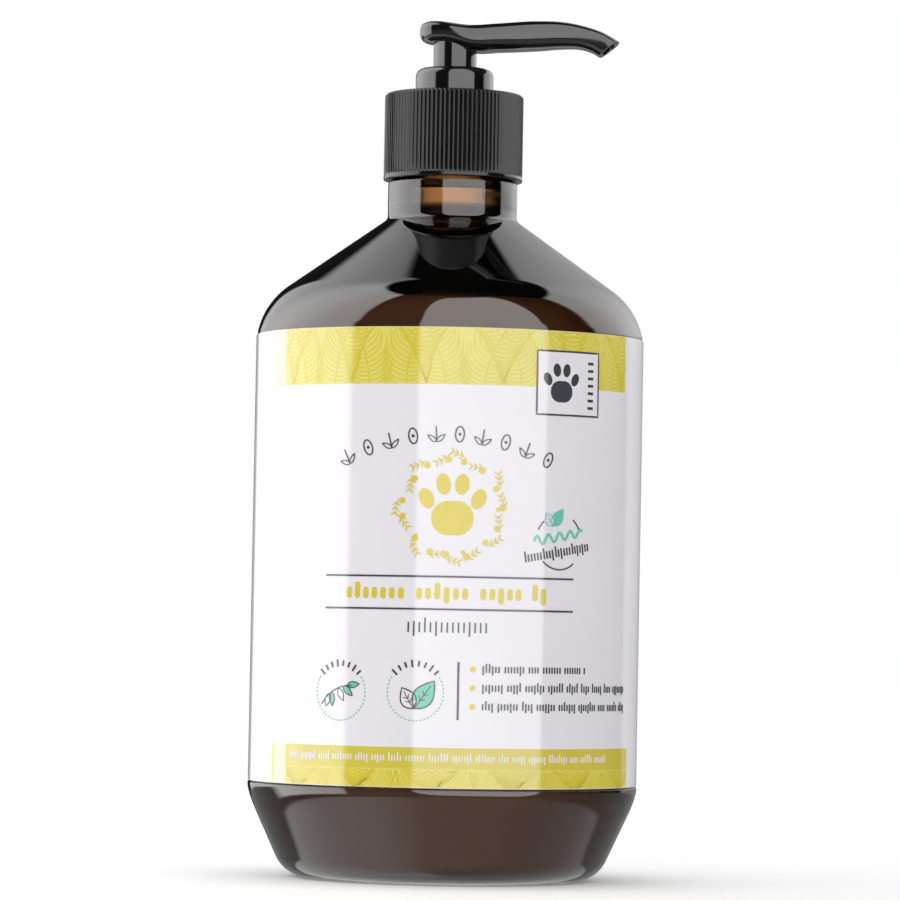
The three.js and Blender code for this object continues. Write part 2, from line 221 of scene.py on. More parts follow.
class Look:
    """A material in the making, round one Principled shader."""

    def __init__(self, name):
        self.material = bpy.data.materials.new(name)
        self.material.use_nodes = True
        self.nodes, self.links = self.material.node_tree.nodes, self.material.node_tree.links
        self.shader = self.nodes["Principled BSDF"]
        self.inputs = self.shader.inputs

    def noise(self, scale, detail, stretch=(1, 1, 1)):
        """A noise in the object's own space."""
        place = self.nodes.new("ShaderNodeTexCoord")
        mapping = self.nodes.new("ShaderNodeMapping")
        mapping.inputs["Scale"].default_value = stretch
        texture = self.nodes.new("ShaderNodeTexNoise")
        texture.inputs["Scale"].default_value = scale
        texture.inputs["Detail"].default_value = detail
        self.links.new(place.outputs["Object"], mapping.inputs["Vector"])
        self.links.new(mapping.outputs["Vector"], texture.inputs["Vector"])
        return texture.outputs["Fac"]

    def colour(self, source, stops):
        """The base colour, from a ramp on a value."""
        node = self.nodes.new("ShaderNodeValToRGB")
        fill_ramp(node.color_ramp, stops)
        self.links.new(source, node.inputs["Fac"])
        self.links.new(node.outputs["Color"], self.inputs["Base Color"])

    def drift(self, tones, *noise, ends=(0.3, 0.7)):
        """The base colour drifts between two tones with a noise, which is returned."""
        value = self.noise(*noise)
        self.colour(value, list(zip(ends, tones)))
        return value

    def bump(self, height, distance, strength):
        node = self.nodes.new("ShaderNodeBump")
        node.inputs["Distance"].default_value = distance * MM
        node.inputs["Strength"].default_value = strength
        self.links.new(height, node.inputs["Height"])
        self.links.new(node.outputs["Normal"], self.inputs["Normal"])


FILM_TONES = ((0.80, 0.78, 0.82), (0.83, 0.81, 0.85))


def moulded_plastic(name, colour, lighter, roughness, grain=900, specular=0.5):
    """Injection-moulded plastic: slight colour variation, uneven gloss and a very fine waviness."""
    look = Look(name)
    cloud = look.drift((colour, lighter), 60, 4)
    gloss = look.nodes.new("ShaderNodeMapRange")
    gloss.inputs["To Min"].default_value = roughness * 0.8
    gloss.inputs["To Max"].default_value = roughness * 1.25
    look.links.new(cloud, gloss.inputs["Value"])
    look.links.new(gloss.outputs["Result"], look.inputs["Roughness"])
    look.inputs["Specular IOR Level"].default_value = specular
    look.bump(look.noise(grain, 2), 0.01, 0.15)
    return look.material


def amber_plastic():
    """Clear amber PET: it tints what shows through it. The tint is painted by height: near black over the
    headspace above the fill line (painted shade), lighter at the neck, and bright from just under the neck
    top upwards (painted highlight of the lit neck top seen through the wall).
    """
    look = Look("amber_plastic")
    place = look.nodes.new("ShaderNodeTexCoord")
    split = look.nodes.new("ShaderNodeSeparateXYZ")
    look.links.new(place.outputs["Object"], split.inputs["Vector"])
    height = look.nodes.new("ShaderNodeMapRange")
    height.inputs["From Max"].default_value = RIM_Z * MM
    look.links.new(split.outputs["Z"], height.inputs["Value"])
    low = (0.2, 0.118, 0.07)
    # painted shade: the empty headspace above the fill line is tinted near black
    headspace_shade = (0.03, 0.02, 0.015)
    neck = (0.84, 0.52, 0.25)
    # painted highlight: from just under the neck top up to the rim the tint is bright, standing in for the
    # lit neck top seen through the wall
    neck_top_highlight = (1, 0.66, 0.3)
    stops = [
        *((0, low), (FILL_Z / RIM_Z - 0.002, low), (FILL_Z / RIM_Z + 0.01, headspace_shade)),
        *((134.3 / RIM_Z, headspace_shade), (135.1 / RIM_Z, neck), (138.2 / RIM_Z, neck), (138.7 / RIM_Z, neck_top_highlight)),
    ]
    look.colour(height.outputs["Result"], stops)
    look.inputs["Transmission Weight"].default_value = 1
    look.inputs["Roughness"].default_value = 0.02
    look.inputs["IOR"].default_value = 1.5
    look.bump(look.noise(25, 2), 0.05, 0.3)
    return look.material


def label_film():
    """White laminated film."""
    look = Look("label_film")
    look.drift(FILM_TONES, 40, 3)
    look.inputs["Roughness"].default_value = 0.07
    look.bump(look.noise(300, 3), 0.01, 0.1)
    return look.material


def shampoo():
    look = Look("shampoo")
    look.drift(((0.72, 0.62, 0.50), (0.80, 0.70, 0.58)), 20, 3)
    look.inputs["Roughness"].default_value = 0.3
    return look.material


def spring_steel():
    """Drawn wire with faint lengthwise streaks."""
    look = Look("spring_steel")
    streaks = look.drift(((0.48, 0.47, 0.45), (0.60, 0.59, 0.57)), 350, 3, (1, 1, 0.1))
    look.inputs["Metallic"].default_value = 1
    look.inputs["Roughness"].default_value = 0.28
    look.bump(streaks, 0.01, 0.3)
    return look.material


def glass():
    """Soda-lime glass of the check ball, faintly green."""
    look = Look("ball_glass")
    look.drift(((0.80, 0.88, 0.84), (0.88, 0.94, 0.91)), 200, 2)
    look.inputs["Roughness"].default_value = 0.06
    look.inputs["Transmission Weight"].default_value = 0.8
    return look.material


AMBER = amber_plastic()
FILM = label_film()
BLACKS = ((0.004, 0.0042, 0.0045), (0.008, 0.008, 0.0085))
BLACK = moulded_plastic("black_plastic", *BLACKS, 0.1)
RIBBED = moulded_plastic("ribbed_plastic", *BLACKS, 0.14, specular=0.3)
NATURAL = moulded_plastic("natural_plastic", (0.72, 0.71, 0.67), (0.78, 0.77, 0.73), 0.4)
SOFT = moulded_plastic("soft_plastic", (0.74, 0.72, 0.67), (0.82, 0.80, 0.75), 0.6)
STEEL = spring_steel()
GLASS = glass()
FOAM = moulded_plastic("gasket_foam", (0.75, 0.74, 0.70), (0.85, 0.84, 0.80), 0.8, 2500)
SHAMPOO = shampoo()


def placed(piece, body, slot, *nodes):
    """The piece rides on its body and stands for the CAD nodes, which are hidden. The slot is not used."""
    if nodes:
        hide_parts(*nodes)
    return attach(piece, body)


# ---- bottle ----


def skin(wall):
    """[radius, height] points of the bottle from the standing ring to the neck, set in by the wall."""
    tilt = math.atan2(CHAMFER_HIGH[0] - CHAMFER_LOW[0], CHAMFER_HIGH[1] - CHAMFER_LOW[1])
    heel = (CHAMFER_LOW[0] - HEEL_R * math.cos(tilt), HEEL_R)
    shoulder = (BODY_R - SHOULDER_R, SHOULDER_Z)
    cone_r = shoulder[0] + SHOULDER_R * math.cos(SHOULDER_TURN)
    cone_z = shoulder[1] + SHOULDER_R * math.sin(SHOULDER_TURN)
    root = cone_z + (cone_r - NECK_R) / math.tan(SHOULDER_TURN)
    run = NECK_FILLET * math.tan(SHOULDER_TURN / 2)
    fillet = (NECK_R + NECK_FILLET, root + run)
    return {
        "tilt": tilt,
        "heel": arc(heel, HEEL_R - wall, -math.pi / 2, -tilt, 14),
        "shoulder": arc(shoulder, SHOULDER_R - wall, 0.1, SHOULDER_TURN, 24),
        "fillet": arc(fillet, NECK_FILLET + wall, math.pi + SHOULDER_TURN, math.pi, 8),
        "root": root,
    }


def thread_height(angles, z, start, turns, root, crest):
    """0 to 1: how far the thread stands at each angle of the row at height z."""
    result = np.zeros(len(angles))
    for lap in range(math.ceil(turns) + 1):
        along = angles + lap * TURN
        middle = start + THREAD_LEAD * along / TURN
        flank = np.clip((root / 2 - np.abs(z - middle)) / ((root - crest) / 2), 0, 1)
        fade = np.clip(np.minimum(along, turns * TURN - along) / 0.35, 0, 1)
        result = np.maximum(result, flank * fade * fade * (3 - 2 * fade))
    return result


def bottle():
    outer, inner = skin(0), skin(1.0)
    panel = BODY_R - PANEL_DEPTH
    ring = 24.4
    dome = [(r, 3 * (1 - (r / ring) ** 2)) for r in np.linspace(0, ring, 14)[:-1]]
    heel_end, corner = np.array(outer["heel"][-1]), np.array(CHAMFER_HIGH)
    bend = corner + (heel_end - corner) * BASE_BEND / math.dist(heel_end, corner)
    edge = [tuple(heel_end), *map(tuple, bezier(bend, corner, (BODY_R, label_low[2] - 0.5), 16))]
    finish = rounded(
        [
            (NECK_R, outer["root"] + 2),
            (NECK_R, NECK_TOP),
            (FINISH_R, NECK_TOP),
            (FINISH_R, RIM_Z),
            (BORE_R, RIM_Z),
            (BORE_R, NECK_TOP + 0.6),
            (NECK_R - 1.3, NECK_TOP - 2),
        ],
        [0, 0.5, 0.4, 0.5, 0.4, 1, 0],
        5,
        False,
    )
    outline = [
        *dome,
        *rounded([(ring - 0.6, 0.1), (ring, 0), outer["heel"][0]], 0.5, 4, False)[1:-1],
        *outer["heel"][:-1],
        *edge,
        *rounded([(BODY_R, label_low[2] - 0.4), (panel, label_low[2] - 0.1)], 0, 1, False),
        (panel, label_high[2] + 0.1),
        *[(r, z) for r, z in outer["shoulder"] if z > label_high[2] + 0.3],
        *outer["fillet"],
        *finish,
        (NECK_R - 1.3, inner["root"] - 0.2),
        *[(r, z) for r, z in inner["shoulder"][::-1]],
        (panel - WALL, SHOULDER_Z - 4),
        (panel - WALL, CHAMFER_HIGH[1]),
        *[(r, z + 0.1) for r, z in inner["heel"][::-1]],
        *[(r * 0.96, z + 1.1) for r, z in dome[::-1]],
    ]
    outline = [(0, 3.0)] + outline[1:-1] + [(0, 4.1)]

    # The threaded stretch of the neck is cut finely enough to carry the thread.
    fine = []
    for (r0, z0), (r1, z1) in zip(outline, outline[1:]):
        fine.append((r0, z0))
        threaded = r0 == r1 == FINISH_R or (abs(r0 - FINISH_R) < 0.01 and abs(r1 - FINISH_R) < 0.01)
        steps = 80 if threaded else max(1, math.ceil(math.dist((r0, z0), (r1, z1)) / 3))
        fine += [(r0 + (r1 - r0) * k / steps, z0 + (z1 - z0) * k / steps) for k in range(1, steps)]
    fine.append(outline[-1])

    def radius_at(angles, r, z):
        if abs(r - FINISH_R) > 0.01:
            return np.full(len(angles), r)
        return r + (THREAD_R - FINISH_R) * thread_height(angles, z, THREAD_START, THREAD_TURNS, 2.1, 0.9)

    return turned("bottle_shell", fine, 256, AMBER, radius_at, 30)


def fill():
    """The shampoo, a hair inside the wall, with a flat top and a well for the pump and its tube."""
    gap = 0.12
    inner = skin(1.0 + gap)
    panel = BODY_R - PANEL_DEPTH - WALL - gap
    dome = [(r * 0.95, 3 * (1 - (r / 24.4) ** 2) + 1.1 + gap) for r in np.linspace(0, 24.4, 12)]
    side = [
        *[(r, z + 0.1 + gap) for r, z in inner["heel"]],
        (panel, CHAMFER_HIGH[1]),
        (panel, SHOULDER_Z - 4),
        *[(r, z) for r, z in inner["shoulder"] if z < FILL_Z - 0.6],
    ]
    top_r = side[-1][0] - 0.7
    room = 0.15
    socket_low, socket_r, tube_r = housing_low[2] - room, 3.7 + room, tube_high[0] + room
    well = [
        (HOUSING_R + room, FILL_Z),
        (HOUSING_R + room, 110.9),
        (socket_r, 109.2),
        (socket_r, socket_low),
        (tube_r, socket_low),
        (tube_r, tube_low[2] - room),
        (0, tube_low[2] - room),
    ]
    outline = [*dome, *side, (top_r + 0.3, FILL_Z - 0.1), (top_r, FILL_Z), *well]
    outline[0] = (0, outline[0][1])
    return turned("shampoo_fill", subdivided_open(outline, 4), 192, SHAMPOO)


def subdivided_open(outline, longest):
    result = []
    for a, b in zip(outline, outline[1:]):
        steps = max(1, math.ceil(math.dist(a, b) / longest))
        result += [tuple(np.array(a) + (np.array(b) - np.array(a)) * k / steps) for k in range(steps)]
    return result + [outline[-1]]


placed(bottle(), "bottle", "amber_plastic", "bottle")
placed(fill(), "bottle", "soft_plastic")


# ---- label ----


def label():
    """The wrap, one turn of film whose ends meet at the back with a narrow gap."""
    inner, outer = label_high[0] - 0.19, label_high[0]
    seam = math.pi / 2
    columns = 361
    angles = np.linspace(seam + 0.004, seam + TURN - 0.004, columns)
    low, high = label_low[2], label_high[2]
    outline = rounded([(inner, low), (outer, low), (outer, high), (inner, high)], 0.04, 2)
    points = [(r * math.cos(a), r * math.sin(a), z) for a in angles for r, z in outline]
    n = len(outline)
    faces = []
    for i in range(columns - 1):
        for j in range(n):
            faces.append((i * n + j, (i + 1) * n + j, (i + 1) * n + (j + 1) % n, i * n + (j + 1) % n))
    faces.append(tuple(range(n)))
    faces.append(tuple(reversed(range((columns - 1) * n, columns * n))))
    return add_mesh("label_film", points, faces, FILM, 40)


placed(label(), "bottle", "label_film", "wrap_label")


# ---- what is printed on the label ----

PRINT_R = label_high[0]
MM_PER_DEGREE = PRINT_R * math.pi / 180
# How far each layer of ink stands above the film.
LAYERS = {"ground": 0.04, "pattern": 0.06, "cover": 0.08, "front": 0.1}
INK_DEPTH = 0.05  # how far the ink reaches into the film

SLATE = ("slate", "front")
TEAL = ("teal", "front")
GOLD = ("gold", "front")
LEAF_LINE = ("leaf_line", "pattern")


class Print:
    """Flat shapes in millimetres along the label (0 at the front, to the right positive) and up, per ink."""

    def __init__(self):
        self.inks = {}

    def add(self, ink, points, faces):
        all_points, all_faces = self.inks.setdefault(ink, ([], []))
        first = len(all_points)
        all_points += [tuple(p) for p in points]
        all_faces += [tuple(first + i for i in face) for face in faces]

    def area(self, ink, left, right, low, high):
        """An upright rectangle, cut into narrow columns so that it can bend round the bottle."""
        columns = max(2, math.ceil((right - left) / 1.2) + 1)
        across = np.linspace(left, right, columns)
        points = [(s, low) for s in across] + [(s, high) for s in across]
        self.add(ink, points, [(i, i + 1, columns + i + 1, columns + i) for i in range(columns - 1)])

    def blob(self, ink, outline):
        """A filled outline that its own middle can see all of, cut into rings so that it can bend too."""
        outline = np.array(outline)
        middle = outline.mean(0)
        n = len(outline)
        rings = max(1, math.ceil(np.linalg.norm(outline - middle, axis=1).max() / 1.2))
        points = [middle, *(p for k in range(1, rings + 1) for p in middle + (outline - middle) * k / rings)]
        faces = [(0, 1 + i, 1 + (i + 1) % n) for i in range(n)]
        for k in range(rings - 1):
            inner, outer = 1 + k * n, 1 + (k + 1) * n
            faces += [(inner + i, outer + i, outer + (i + 1) % n, inner + (i + 1) % n) for i in range(n)]
        self.add(ink, points, faces)

    def line(self, ink, path, width, closed=False):
        """A stroke of even width along a path."""
        path = np.array(resampled(path, closed))
        ahead = np.roll(path, -1, 0) - path
        behind = path - np.roll(path, 1, 0)
        if not closed:
            ahead[-1], behind[0] = behind[-1], ahead[0]
        along = sum(step / np.linalg.norm(step, axis=1)[:, None] for step in (ahead, behind))
        along /= np.maximum(np.linalg.norm(along, axis=1), 1e-6)[:, None]
        side = np.stack([-along[:, 1], along[:, 0]], 1) * width / 2
        n = len(path)
        faces = [(i, (i + 1) % n, n + (i + 1) % n, n + i) for i in range(n if closed else n - 1)]
        self.add(ink, [*(path - side), *(path + side)], faces)

    def make(self):
        for (colour, layer), (flat, faces) in self.inks.items():
            used = {}
            for face in faces:
                for a, b in zip(face, face[1:] + face[:1]):
                    used[(a, b)] = (b, a) not in used
                    if not used[(a, b)]:
                        used[(b, a)] = False
            n = len(flat)
            points = []
            for r in (PRINT_R + LAYERS[layer], PRINT_R - INK_DEPTH):
                points += [(r * math.sin(s / PRINT_R), -r * math.cos(s / PRINT_R), z) for s, z in flat]
            solid = faces + [tuple(n + i for i in reversed(face)) for face in faces]
            solid += [(b, a, n + a, n + b) for (a, b), edge in used.items() if edge]
            name = f"print_{colour}_{layer}"
            placed(add_mesh(name, points, solid, ink_material(colour), 30), "bottle", "label_film")


def resampled(path, closed=False, longest=1.2):
    path = [tuple(p) for p in path]
    if closed:
        return subdivided_open(path + path[:1], longest)[:-1]
    return subdivided_open(path, longest)


def unit(turn):
    """The direction at an angle."""
    return np.array((math.cos(turn), math.sin(turn)))


def spun(points, centre, turn):
    """Points turned about the origin and moved to a centre."""
    c, s = math.cos(turn), math.sin(turn)
    return [(centre[0] + x * c - y * s, centre[1] + x * s + y * c) for x, y in points]


def oval(centre, across, up, turn=0.0, steps=20):
    angles = np.arange(steps) * TURN / steps
    return spun([(across * math.cos(a), up * math.sin(a)) for a in angles], centre, turn)


def pill(centre, width, height, lean=0.0):
    """An upright bar with round ends."""
    r, reach = width / 2, max(0, height - width) / 2
    angles = np.arange(12) * TURN / 12 + 0.01
    ends = [(r * math.cos(a), r * math.sin(a) + (reach if a < math.pi else -reach)) for a in angles]
    return spun(ends, centre, lean)


def leaf(base, length, width, turn):
    """A pointed leaf from its stalk; turn is its direction."""
    t = np.linspace(0, 1, 9)
    half = width / 2 * np.sin(math.pi * t**0.8)
    outline = [(length * x, h) for x, h in zip(t, half)]
    outline += [(x, -h) for x, h in outline[-2:0:-1]]
    return spun(outline, base, turn)


def inside_runs(path, left, right, low, high):
    """The stretches of a path that lie in a rectangle."""
    runs, run = [], []
    for s, z in resampled(path, longest=0.25):
        if left <= s <= right and low <= z <= high:
            run.append((s, z))
        else:
            runs, run = runs + [run], []
    return [r[:: max(1, len(r) // 14)] + r[-1:] for r in runs + [run] if len(r) > 3]


def foliage(label_print, left, right, low, high, seed):
    """Leaning plumes of long curved blades drawn in line, cut off at the edges of their band."""
    random = np.random.default_rng(seed)
    ribs = np.arange(left - 8, right + 8, 7.6) + random.uniform(-0.8, 0.8)
    for count, s in enumerate(ribs):
        way = 1 if count % 2 else -1
        foot = np.array((s, low - 2))
        tip = foot + (way * random.uniform(4, 7), high - low + 5)
        rib = bezier(foot, foot + (way * -0.5, (high - low) * 0.7), tip, 18)
        for stretch in inside_runs(rib, left, right, low, high):
            label_print.line(LEAF_LINE, stretch, 0.34)
        for k in range(18):
            ahead = rib[k + 1] - rib[k]
            ahead = ahead / np.linalg.norm(ahead)
            for side in (1, -1):
                out = np.array((ahead[1], -ahead[0])) * side
                reach = 4.6 + random.uniform(-0.3, 0.5)
                start, end = rib[k] + out * 0.3, rib[k] + out * reach + ahead * reach * 0.9
                vein = bezier(start, rib[k] + out * reach * 0.9 + ahead * 0.3, end, 8)
                for stretch in inside_runs(vein, left, right, low, high):
                    label_print.line(LEAF_LINE, stretch, 0.24)


UNBROKEN = (90, 91)  # so many marks to a group that a row has no gap


def marks(label_print, ink, left, right, height, size, seed, at, words=(3, 7), pitch=2.1):
    """A row of small upright marks in groups, where the real label has a line of print. at(s) gives the row's
    height and lean, and pitch is the marks' spacing in widths."""
    random = np.random.default_rng(seed)
    s, count = left, random.integers(*words)
    while s < right:
        tall = height * (1 if random.uniform() < 0.65 else 1.45)
        z, lean = at(s)
        label_print.blob(ink, pill((s, z + (tall - height) / 2 * random.choice((1, -0.6))), size, tall, lean))
        count -= 1
        s += size * pitch
        if count == 0:
            s += size * pitch
            count = random.integers(*words)


def paw(label_print, ink, centre, size):
    """A plain paw print."""
    x, z = centre
    pad = [(0.5 * c, 0.4 * s * (1 + 0.18 * abs(c)) - 0.28) for c, s in oval((0, 0), 1, 1)]
    label_print.blob(ink, [(x + size * across, z + size * up) for across, up in pad])
    toes = ((-0.62, 0.18, 0.45), (-0.22, 0.52, 0.12), (0.22, 0.52, -0.12), (0.62, 0.18, -0.45))
    for across, up, turn in toes:
        label_print.blob(ink, oval((x + size * across, z + size * up), size * 0.17, size * 0.25, turn))


def wreath(label_print, ink, centre, radius):
    """A ring of twigs, each with paired leaves and a berry at its end."""
    random = np.random.default_rng(12)
    twigs = 15
    for k in range(twigs):
        turn = TURN * (k + random.uniform(-0.15, 0.15)) / twigs
        foot = np.array(centre) + radius * (1 + random.uniform(-0.04, 0.04)) * unit(turn)
        lean = turn + math.pi / 2 + (0.5, -0.15)[k % 2] + random.uniform(-0.1, 0.1)
        way = unit(lean)
        label_print.line(ink, [foot, foot + 3.1 * way], 0.13)
        for step in (0.7, 1.7, 2.7):
            for side in (0.75, -0.75):
                label_print.blob(ink, leaf(foot + step * way, 1.2, 0.3, lean + side))
        berry = foot + 0.9 * unit(turn + 2.8)
        label_print.blob(ink, oval(berry, 0.62, 0.62, steps=12))
        if k % 3 == 0:
            berry = np.array(centre) + radius * 0.87 * unit(turn)
            label_print.blob(ink, oval(berry, 0.42, 0.42, steps=10))


def ring_of_dots(label_print, centre, radius):
    """A dotted ring, open at the top where the marks stand."""
    for k in range(46):
        turn = TURN * k / 46
        if not 0.2 * math.pi < turn < 0.8 * math.pi:
            spot = centre + radius * unit(turn)
            label_print.blob(TEAL, pill(spot, 0.24, 0.42, turn))
    for k in range(8):
        turn = math.pi * (0.76 - 0.52 * k / 7)
        spot = centre + (radius + 0.1) * unit(turn)
        label_print.blob(SLATE, pill(spot, 0.4, 1.2 if k % 3 else 1.5, turn - math.pi / 2))


def sprig(label_print, centre):
    x, z = centre
    stem = bezier((x - 4.3, z - 2.2), (x - 1.5, z + 1.6), (x + 2.6, z + 1.5))
    label_print.line(SLATE, stem, 0.2)
    blades = (
        (1.6, 1.5, 0.12, True),
        (0.8, 1.3, -0.75, True),
        (-0.4, 0.9, -1.1, False),
        (-2, 0.1, -1.45, True),
        (-2.4, -0.1, -1.9, False),
    )
    for across, up, turn, teal in blades:
        blade = leaf((x + across, z + up), 2.7, 1.2, turn)
        label_print.blob(("teal" if teal else "film_white", "pattern"), blade)
        label_print.line(SLATE, blade, 0.17, closed=True)


def two_leaves(label_print, centre, scale=1.0, ink="slate"):
    """A small white leaf and a larger teal one from the same foot, with their veins."""
    for across, length, width, turn, fill_ink in (
        (-0.3, 4.6, 3.1, 2.1, "film_white"),
        (-0.1, 6.6, 3.9, 0.95, "teal"),
    ):
        base = (centre[0] + across * scale, centre[1] - 2.8 * scale)
        blade = leaf(base, length * scale, width * scale, turn)
        label_print.blob((fill_ink, "pattern"), blade)
        label_print.line((ink, "front"), blade, 0.24 * scale, closed=True)
        tip = base + length * scale * 0.82 * unit(turn)
        label_print.line((ink, "front"), [base, tip], 0.17 * scale)
        for part in (0.35, 0.58):
            spot = np.array(base) + (tip - base) * part
            for way in (0.8, -0.8):
                label_print.line((ink, "front"), [spot, spot + 0.95 * scale * unit(turn + way)], 0.14 * scale)


def badge(label_print, centre):
    """A slanted badge: two small leaves over an arc, a wave and a row of marks."""
    x, z = centre
    slant = 0.17
    two_leaves(label_print, (x - 1.6, z + 5), 0.62, "teal")
    for start, end in ((0.16, 0.3), (0.74, 0.86), (1.25, 1.72)):
        around = [(x, z + 0.2) + 5.4 * unit(math.pi * t) for t in np.linspace(start, end, 10)]
        label_print.line(SLATE, around, 0.24)
    length = 11.4
    wave = [
        (x - 5.8 + length * t, z + 1.2 + slant * length * (t - 0.5) + 0.95 * math.sin(28 * t) * (1 - 0.3 * t))
        for t in np.linspace(0, 1, 70)
    ]
    label_print.line(TEAL, wave, 0.5)

    def row(s):
        return z - 1.9 + slant * (s - x), slant

    marks(label_print, SLATE, x - 7.6, x + 7.8, 1.5, 0.32, 5, row, UNBROKEN)


def ink_material(colour):
    tones = {
        "yellow": ((0.73, 0.65, 0.15), (0.76, 0.68, 0.16)),
        "leaf_line": ((0.68, 0.57, 0.05), (0.71, 0.60, 0.06)),
        "gold": ((0.68, 0.55, 0.05), (0.71, 0.58, 0.06)),
        "cream": ((0.80, 0.72, 0.50), (0.83, 0.75, 0.53)),
        "deep_yellow": ((0.64, 0.54, 0.07), (0.67, 0.57, 0.08)),
        "slate": ((0.05, 0.052, 0.065), (0.065, 0.067, 0.08)),
        "teal": ((0.16, 0.55, 0.44), (0.18, 0.58, 0.47)),
        "film_white": FILM_TONES,
    }
    if f"ink_{colour}" in bpy.data.materials:
        return bpy.data.materials[f"ink_{colour}"]
    look = Look(f"ink_{colour}")
    look.drift(tones[colour], 120, 4, ends=(0.35, 0.65))
    look.inputs["Roughness"].default_value = 0.08
    return look.material


def print_label():
    sheet = Print()
    d = MM_PER_DEGREE

    # the two bands, each with a strip at its left end
    top, low = (97.2, 108.25), (19.3, 27)
    sheet.area(("cream", "ground"), -62 * d, -55.5 * d, *top)
    sheet.area(("yellow", "ground"), -55.5 * d, 63 * d, *top)
    foliage(sheet, -55.4 * d, 62.9 * d, top[0] + 0.05, top[1] - 0.05, 3)
    sheet.area(("deep_yellow", "ground"), -59.4 * d, -57.8 * d, *low)
    sheet.area(("cream", "ground"), -57.8 * d, -52 * d, *low)
    sheet.area(("deep_yellow", "ground"), -52 * d, 69 * d, 22.9, low[1])
    sheet.area(("yellow", "ground"), -52 * d, 69 * d, low[0], 22.9)
    foliage(sheet, -51.9 * d, 68.9 * d, low[0] + 0.05, 22.85, 8)
    marks(sheet, ("film_white", "front"), -49.5 * d, 55.5 * d, 1.15, 0.27, 21, lambda s: (24.9, 0), (4, 9))

    # pictogram in a box
    left, right, bottom, high = 26 * d, 48.4 * d, 91.9, 104.3
    sheet.area(("film_white", "cover"), left, right, bottom, high)
    corners = [(left, bottom), (right, bottom), (right, high), (left, high)]
    sheet.line(SLATE, corners, 0.36, closed=True)
    paw(sheet, SLATE, (left + 5.6, bottom + 6), 5.2)
    for k in range(7):
        level = bottom + 1.6 + k * 1.45
        sheet.line(SLATE, [(right - 3, level), (right - 1.5, level)], 0.55)

    # arched row of leaf ornaments in place of a name
    for k, turn in enumerate(np.linspace(-30, 30, 10)):
        spot = (turn * d, 87.6 - 4.6 * (turn / 30) ** 2)
        lean = -9.2 / (30 * d) * (turn / 30)
        if k % 2:
            sheet.line(SLATE, oval(spot, 0.85, 1.5, lean), 0.26, closed=True)
            sheet.blob(SLATE, oval(spot, 0.3, 0.3, steps=10))
        else:
            foot = (spot[0] - 1.5 * math.sin(-lean), spot[1] - 1.5 * math.cos(lean))
            sheet.line(SLATE, [foot, (2 * spot[0] - foot[0], 2 * spot[1] - foot[1])], 0.26)
            for way in (0.9, -0.9):
                sheet.line(SLATE, leaf(foot, 2.2, 0.8, math.pi / 2 + lean + way), 0.2, closed=True)

    wreath(sheet, GOLD, (1.5 * d, 73.4), 10.3)
    paw(sheet, GOLD, (1.6 * d, 73.6), 8.2)
    badge(sheet, (34.4 * d, 67))

    # two rules with a bold row between them, and a light row below
    for z in (60, 53.7):
        sheet.line(SLATE, [(-36.5 * d, z), (39.6 * d, z)], 0.34)
    marks(sheet, GOLD, -28.5 * d, 31 * d, 2.2, 1.15, 33, lambda s: (56.7, 0), (4, 8), 1.55)
    marks(sheet, SLATE, -10.4 * d, 12.6 * d, 2, 0.3, 7, lambda s: (50.2, 0), UNBROKEN, 3.6)

    # two dotted rings, the upright rule and three rows with bullets
    for centre in ((-31 * d, 37.4), (-8.1 * d, 37.6)):
        ring_of_dots(sheet, centre, 5.5)
    sprig(sheet, (-31 * d, 37.2))
    two_leaves(sheet, (-8.1 * d, 37.3))
    sheet.line(SLATE, [(4.1 * d, 32.4), (4.1 * d, 43.6)], 0.4)
    for k, (z, end) in enumerate(((42.2, 45), (38.6, 66.5), (35, 66.5))):
        sheet.blob(GOLD, oval((8.2 * d, z), 0.55, 0.55, steps=12))
        marks(sheet, SLATE, 11.2 * d, end * d, 1.25, 0.3, 40 + k, lambda s: (z, 0), (4, 9))
    sheet.make()


print_label()

# ---- closure ----

RIBS = 96


def closure():
    low, top, radius = closure_low[2], closure_high[2], 14.0
    lip = low + 0.8
    bore, hole, roof = 12.3, 7.3, 155.85

    outline = [
        *rounded([(bore + 0.5, low), (radius, low), (radius, lip)], [0, 0.25, 0], 4, False),
        (radius - 0.02, lip + 0.05),
        (radius - 0.01, lip + 0.3),
        *[(radius - 0.01, z) for z in np.linspace(lip + 0.6, top - 0.9, 10)],
        *arc((radius - 0.85, top - 0.85), 0.85, 0.1, math.pi / 2, 8),
        (hole + 0.3, top),
        (hole, top - 0.3),
        (hole, roof),
        (bore - 0.6, roof),
        (bore, roof - 0.6),
        *[(bore, z) for z in np.linspace(roof - 1, low + 1, 60)],
        (bore, low + 0.5),
    ]

    def radius_at(angles, r, z):
        if r == bore:
            wind = thread_height(angles, z, THREAD_START + THREAD_LEAD / 2, THREAD_TURNS, 1.9, 0.7)
            return r - (bore - THREAD_R - 0.1) * wind
        if z < lip + 0.1 or r < radius - 1:
            return np.full(len(angles), r)
        groove = 1 - np.abs(np.cos(angles * RIBS / 2)) ** 1.5
        return np.minimum(r, radius - 0.45 * groove * min(1, (z - lip - 0.1) / 0.3))

    return turned("closure_cap", outline, RIBS * 10, RIBBED, radius_at, 40)


def chaplet():
    radius, low, top = chaplet_high[0], 157.75, chaplet_high[2]
    outline = [
        (4.1, 150),
        (5.85, 150),
        (5.85, low),
        *rounded([(5.85, low), (radius, low), (radius, low + 2)], 0.2, 3, False)[1:],
        *arc((radius - 1.6, top - 1.6), 1.6, 0, math.pi / 2, 12),
        *rounded([(5.6, top), (4.9, top), (4.9, top - 1)], 0.3, 4, False),
        (4.9, low + 0.5),
        (4.1, low),
    ]
    return turned("chaplet_collar", subdivided(outline, 2), 160, BLACK)


placed(closure(), "closure", "black_plastic", "closure")
placed(chaplet(), "pump_engine", "black_plastic", "chaplet")


# ---- head ----

